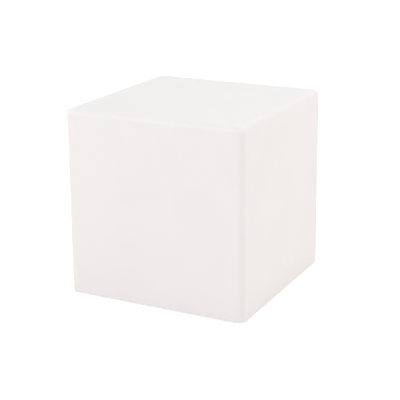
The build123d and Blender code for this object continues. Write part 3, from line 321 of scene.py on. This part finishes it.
# ----------------------------------------------------------- soft silicone pieces
# All in millimetres, in the frame of the CAD.
PORT_X, PORT_Y = 24.0, -24.0  # the port's axis
PORT_FACE = 18.0  # height of the recess's floor
SUNK = 0.5  # how far a form starts inside the one it stands on
TAB_LOW = 16.4
TAB_R = 6.5
CROWN = ((4.2, 0.0), (5.6, 0.12), (6.2, 0.42), (TAB_R, 0.9))  # the tab's rounded edge: radius, height
LIP_SIZE = (3.0, 6.5, 2.3)
LIP_INSET = 0.5  # of the lip's middle from the tab's edge
LIP_Z = 16.55
BUNG_R = 2.7
BUNG_TIP_R = 2.25
BUNG_TOP = 19.9
BUNG_CHAMFER = (0.2, 0.3)  # across, up
BUNG_BORE_R = 1.6
BUNG_BORE_END = 18.4
ANCHOR_X = 38.6
ANCHOR_R = 2.3
ANCHOR_BEVEL = 0.6
STEM_R = 1.5
BARB_LOW = 21.0
BARB_HEIGHT = 1.6
BARB_TIP_R = 1.1
STRAP_WIDTH = 6.0
STRAP = (16.5, 17.9)  # heights of its faces
STRAP_THIN = (16.75, 17.75)  # the same where it is thin
THIN_FROM, THIN_TO = 31.4, 34.5  # the thin stretch along X
TAPER = 0.8  # the stretch on each side of it over which it thins
FLAP_VOXEL = 0.16
FLAP_SOFTENING = 7  # rounds of smoothing

BUTTON_X = -24.0
SHEET = (25.0, 25.8)  # heights of the faces of the sheet behind the button
SHEET_R = 10.5
SHEET_ROUND = 0.2
NUB_R = 2.5
NUB_ROOT_R = 2.9  # where the nub's chamfer ends on the sheet
NUB_ROUND = 0.15
NUB_TOP = 27.0
NECK_HEIGHT = 0.25  # of that chamfer
POCKET_DEPTH = 0.45
POCKET_R = (2.9, 3.0)  # at its end and at its mouth

LATHE_STEPS = 96
BAR_STEPS = 10  # in each half round of a bar's section


def lathe(bm, profile, centre):
    """A closed solid of revolution about an upright axis, from (radius, height) points that start and end on
    the axis."""
    x, y = centre
    turns = [2 * math.pi * i / LATHE_STEPS for i in range(LATHE_STEPS)]
    rings = []
    for radius, height in profile:
        angles = turns if radius else [0.0]
        points = [(x + radius * math.cos(a), y + radius * math.sin(a), height) for a in angles]
        rings.append([bm.verts.new(point) for point in points])
    for low, high in zip(rings, rings[1:]):
        for i in range(LATHE_STEPS):
            corners = ((low, i), (low, i + 1), (high, i + 1), (high, i))
            bm.faces.new(list(dict.fromkeys(ring[j % len(ring)] for ring, j in corners)))


def rounded_bar(bm, width, profile, y_middle):
    """A closed bar along X whose section is a rounded slab. The profile gives (x, lowest, highest) heights
    of its faces along the bar, so that it can thin where it bends."""
    rings = []
    for x, low, high in profile:
        radius = (high - low) / 2
        middle = (high + low) / 2
        reach = width / 2 - radius
        ring = []
        for side in (1, -1):
            for i in range(BAR_STEPS + 1):
                a = side * math.pi / 2 - math.pi * i / BAR_STEPS
                y = y_middle + side * reach + radius * math.cos(a)
                ring.append((x, y, middle + radius * math.sin(a)))
        rings.append([bm.verts.new(point) for point in ring])
    count = len(rings[0])
    for here, there in zip(rings, rings[1:]):
        for i in range(count):
            bm.faces.new((here[i], here[(i + 1) % count], there[(i + 1) % count], there[i]))
    bm.faces.new(list(reversed(rings[0])))
    bm.faces.new(rings[-1])


def flap_form(bm):
    """The flap's closed forms, which overlap where they join: the crowned tab, the lip to lift it by, the
    hollow bung, the anchor's pad and barb, and the strap with its thin bend."""
    low, high = TAB_LOW, PORT_FACE
    root = high - SUNK
    across, up = BUNG_CHAMFER
    crown = [(radius, low + height) for radius, height in CROWN]
    tab = [(0, low), *crown, (TAB_R, high), (0, high)]
    bung_side = [(0, root), (BUNG_R, root), (BUNG_R, high)]
    bung_tip = [(BUNG_TIP_R, BUNG_TOP - up), (BUNG_TIP_R - across, BUNG_TOP)]
    bung_bore = [(BUNG_BORE_R, BUNG_TOP), (BUNG_BORE_R, BUNG_BORE_END), (0, BUNG_BORE_END)]
    for profile in (tab, bung_side + bung_tip + bung_bore):
        lathe(bm, profile, (PORT_X, PORT_Y))

    bevel = [(ANCHOR_R - ANCHOR_BEVEL, low), (ANCHOR_R, low + ANCHOR_BEVEL)]
    pad = [(0, low), *bevel, (ANCHOR_R, high), (0, high)]
    stem = [(0, root), (STEM_R, root), (STEM_R, BARB_LOW)]
    tip = BARB_LOW + BARB_HEIGHT
    barb = [(ANCHOR_R, BARB_LOW), (BARB_TIP_R, tip), (0, tip)]
    for profile in (pad, stem + barb):
        lathe(bm, profile, (ANCHOR_X, PORT_Y))

    strap = [
        (PORT_X, *STRAP),
        (THIN_FROM - TAPER, *STRAP),
        (THIN_FROM, *STRAP_THIN),
        (THIN_TO, *STRAP_THIN),
        (THIN_TO + TAPER, *STRAP),
        (ANCHOR_X, *STRAP),
    ]
    rounded_bar(bm, STRAP_WIDTH, strap, PORT_Y)

    lip_middle = (PORT_X - TAB_R + LIP_INSET, PORT_Y, LIP_Z)
    lip = Matrix.Translation(lip_middle) @ Matrix.Diagonal((*LIP_SIZE, 1.0))
    bmesh.ops.create_cube(bm, size=1.0, matrix=lip)


def silicone_piece(name, mesh, materials):
    """A visible piece in grey silicone, of a mesh in millimetres."""
    mesh.transform(Matrix.Scale(MM, 4))
    for polygon in mesh.polygons:
        polygon.use_smooth = True
    mesh.materials.append(materials["grey_silicone"])
    piece = add_object(name, mesh)
    return piece


def port_flap(materials):
    """The port's silicone flap in one piece, from its anchor to the tab."""
    bm = bmesh.new()
    flap_form(bm)
    form = add_object("flap_form", mesh_of(bm, "flap_form"))
    joined = form.modifiers.new("joined", "REMESH")
    joined.mode = "VOXEL"
    joined.voxel_size = FLAP_VOXEL
    softened = form.modifiers.new("softened", "SMOOTH")
    softened.factor = 0.5
    softened.iterations = FLAP_SOFTENING
    graph = bpy.context.evaluated_depsgraph_get()
    flap = silicone_piece("port_flap", bpy.data.meshes.new_from_object(form.evaluated_get(graph)), materials)
    bpy.data.objects.remove(form)
    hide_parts("port_plug", "plug_anchor")
    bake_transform(flap)


def button_membrane(materials):
    """The silicone sheet behind the button, with the nub that pushes the switch's plunger and its clamped
    rim. A pocket under the nub takes the button's stem."""
    low, high = SHEET
    pocket = low + POCKET_DEPTH
    neck = high + NECK_HEIGHT
    pocket_end, pocket_mouth = POCKET_R
    profile = [
        (0, pocket),
        (pocket_end, pocket),
        (pocket_mouth, low),
        (SHEET_R - SHEET_ROUND, low),
        (SHEET_R, low + SHEET_ROUND),
        (SHEET_R, high - SHEET_ROUND),
        (SHEET_R - SHEET_ROUND, high),
        (NUB_ROOT_R, high),
        (NUB_R, neck),
        (NUB_R, NUB_TOP - NUB_ROUND),
        (NUB_R - NUB_ROUND, NUB_TOP),
        (0, NUB_TOP),
    ]
    bm = bmesh.new()
    lathe(bm, profile, (BUTTON_X, PORT_Y))
    bmesh.ops.recalc_face_normals(bm, faces=bm.faces)
    membrane = silicone_piece("button_membrane", mesh_of(bm, "button_membrane"), materials)
    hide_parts("button_diaphragm")
    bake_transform(membrane)


# -------------------------------------------------------------- floor and lights
CORNER_R = 0.015  # of the cube's upright edges
FLOOR_REACH = 20.0
# Rays that only bring light see these floor colours. Next to the cube the floor is darker: a painted contact
# shade that darkens the cube's bottom edges, fading out over the given width.
FLOOR_PAINTED_SHADE = (0.76, 0.70, 0.69, 1.0)  # what the floor throws back at the cube at its edge: darker, a painted contact shade
FLOOR_FAR = (0.86, 0.79, 0.78, 1.0)  # what it throws back past the painted shade; warmer and darker than the white it shows
PAINTED_SHADE_WIDTH = 0.03
FLOOR_WHITE = (0.86, 0.86, 0.86, 1.0)  # where the floor is seen
FLOOR_LIFT = 0.4  # brings the lit floor to full white

# name, azimuth, elevation, side in metres, strength, tint
LAMPS = (
    ("left_softbox", -19, 16, 4.0, 0.463, (0.97, 0.972, 1.04)),
    ("right_softbox", 109, 26, 3.2, 0.247, (1.0, 1.0, 0.97)),
    ("rear_softbox", 180, 50, 3.2, 0.118, (1.0, 1.0, 1.0)),
    ("under_softbox", -40, -60, 2.0, 0.9, (1.0, 1.0, 1.0)),
)
LAMP_DISTANCE = 3.0
LAMP_TARGET = Vector((0, 0, 0.2))  # the cube's middle
WORLD_LIGHT = 0.74

# The photograph's viewpoint, fitted to the cube's outline in it
CAMERA_AZIMUTH, CAMERA_ELEVATION, CAMERA_ROLL = 27.22, 17.462, -0.513
CAMERA_PLACE = Vector((1.03641, -2.00537, 0.88209))
FOCAL_PIXELS = 1104.8
PHOTO_PIXELS = 400.0
SENSOR_WIDTH = 36.0


def footprint_distance(tree, position):
    """How far a point of the floor lies from the inner square of the cube's rounded footprint. At the
    footprint's outline it is CORNER_R."""
    inner = cad_box[1][0] - CORNER_R
    spot = calculate_vector(tree, "ABSOLUTE", position)
    past = calculate_vector(tree, "SUBTRACT", spot, (inner, inner, 0.0))
    past = calculate_vector(tree, "MAXIMUM", past)
    return calculate_vector(tree, "LENGTH", past)


def floor_material():
    """A white floor that shows as pure white where no shadow falls. To rays that only bring light it is
    warmer and darker, and darker still at the cube's footprint: a painted contact shade on the cube's bottom
    edges. It can be seen through from below, and inside the object's footprint it lets the light of the lamp
    beneath it reach the underside. It does so for what is seen directly (a diffuse depth of 0), so that this
    light isn't thrown on to the rest."""
    mat = bpy.data.materials.new("studio_floor")
    tree = bare_tree(mat)
    path = add_node(tree, "ShaderNodeLightPath").outputs
    facing = add_node(tree, "ShaderNodeNewGeometry").outputs
    distance = footprint_distance(tree, facing["Position"])

    # Painted contact shade: the floor's bounce colour is darker where it meets the cube and fades out just
    # past the footprint.
    clear_of_painted_shade = spread(tree, distance, 0.0, 1.0, CORNER_R, CORNER_R + PAINTED_SHADE_WIDTH)
    tint = shades(tree, clear_of_painted_shade, FLOOR_PAINTED_SHADE, FLOOR_FAR, 0.0, 1.0)
    plain = add_node(tree, "ShaderNodeBsdfDiffuse", {"Color": tint}).outputs[0]
    white = add_node(tree, "ShaderNodeBsdfDiffuse", {"Color": FLOOR_WHITE}).outputs[0]
    lift = add_node(tree, "ShaderNodeEmission", {"Color": WHITE, "Strength": FLOOR_LIFT}).outputs[0]
    lifted = add_node(tree, "ShaderNodeAddShader", {0: white, 1: lift}).outputs[0]
    shown = add_node(tree, "ShaderNodeMixShader", {0: seen_by(tree, path), 1: plain, 2: lifted}).outputs[0]

    under = calculate(tree, "LESS_THAN", distance, CORNER_R)
    first = calculate(tree, "LESS_THAN", path["Diffuse Depth"], 0.5)
    let_in = calculate(tree, "MULTIPLY", path["Is Shadow Ray"], under)
    let_in = calculate(tree, "MULTIPLY", let_in, first)
    open_way = calculate(tree, "MAXIMUM", facing["Backfacing"], let_in)
    clear = add_node(tree, "ShaderNodeBsdfTransparent").outputs[0]
    result = add_node(tree, "ShaderNodeMixShader", {0: open_way, 1: shown, 2: clear}).outputs[0]
    add_node(tree, "ShaderNodeOutputMaterial", {"Surface": result})
    return mat


def make_floor():
    """The studio floor."""
    mesh = bpy.data.meshes.new("studio_floor")
    corners = [(x * FLOOR_REACH, y * FLOOR_REACH, 0) for x, y in ((-1, -1), (1, -1), (1, 1), (-1, 1))]
    mesh.from_pydata(corners, [], [(0, 1, 2, 3)])
    floor = add_object("studio_floor", mesh)
    mesh.materials.append(floor_material())


def soft_lamp(name, azimuth, elevation, side, strength, tint):
    """A square area lamp that looks at the object's middle. Strength is the light that it gives a surface
    facing it there, where 1 shows a colour as it is written."""
    back = direction(azimuth, elevation)
    data = bpy.data.lights.new(name, "AREA")
    data.shape = "SQUARE"
    data.size = side
    data.energy = strength * math.pi * math.pi * LAMP_DISTANCE**2
    data.color = tint
    lamp = add_object(name, data)
    lamp.location = LAMP_TARGET + back * LAMP_DISTANCE
    lamp.rotation_mode = "QUATERNION"
    lamp.rotation_quaternion = (-back).to_track_quat("-Z", "Y")
    lamp.visible_camera = False


def make_light():
    """The lamps, and a world that is white where it is seen and a soft fill elsewhere."""
    for lamp in LAMPS:
        soft_lamp(*lamp)
    world = bpy.data.worlds.new("studio_world")
    bpy.context.scene.world = world
    tree = bare_tree(world)
    path = add_node(tree, "ShaderNodeLightPath").outputs
    fill = add_node(tree, "ShaderNodeBackground", {"Color": WHITE, "Strength": WORLD_LIGHT}).outputs[0]
    white = add_node(tree, "ShaderNodeBackground", {"Color": WHITE, "Strength": 1.0}).outputs[0]
    mixed = add_node(tree, "ShaderNodeMixShader", {0: seen_by(tree, path), 1: fill, 2: white}).outputs[0]
    add_node(tree, "ShaderNodeOutputWorld", {"Surface": mixed})


def make_camera():
    """The photograph's camera."""
    back = direction(CAMERA_AZIMUTH, CAMERA_ELEVATION)
    right = Vector((0, 0, 1)).cross(back).normalized()
    up = back.cross(right)
    roll = math.radians(CAMERA_ROLL)
    across = math.cos(roll) * right + math.sin(roll) * up
    upward = math.cos(roll) * up - math.sin(roll) * right
    data = bpy.data.cameras.new("camera")
    data.sensor_width = SENSOR_WIDTH
    data.lens = FOCAL_PIXELS * SENSOR_WIDTH / PHOTO_PIXELS
    data.clip_start, data.clip_end = 0.05, 100.0
    camera = add_object("camera", data)
    place = Matrix((across, upward, back)).transposed().to_4x4()
    place.translation = CAMERA_PLACE
    camera.matrix_world = place
    bpy.context.scene.camera = camera


materials = make_materials()
finish_nodes(materials)
port_flap(materials)
button_membrane(materials)
make_floor()
make_light()
make_camera()
bpy.context.scene.view_settings.view_transform = "Standard"
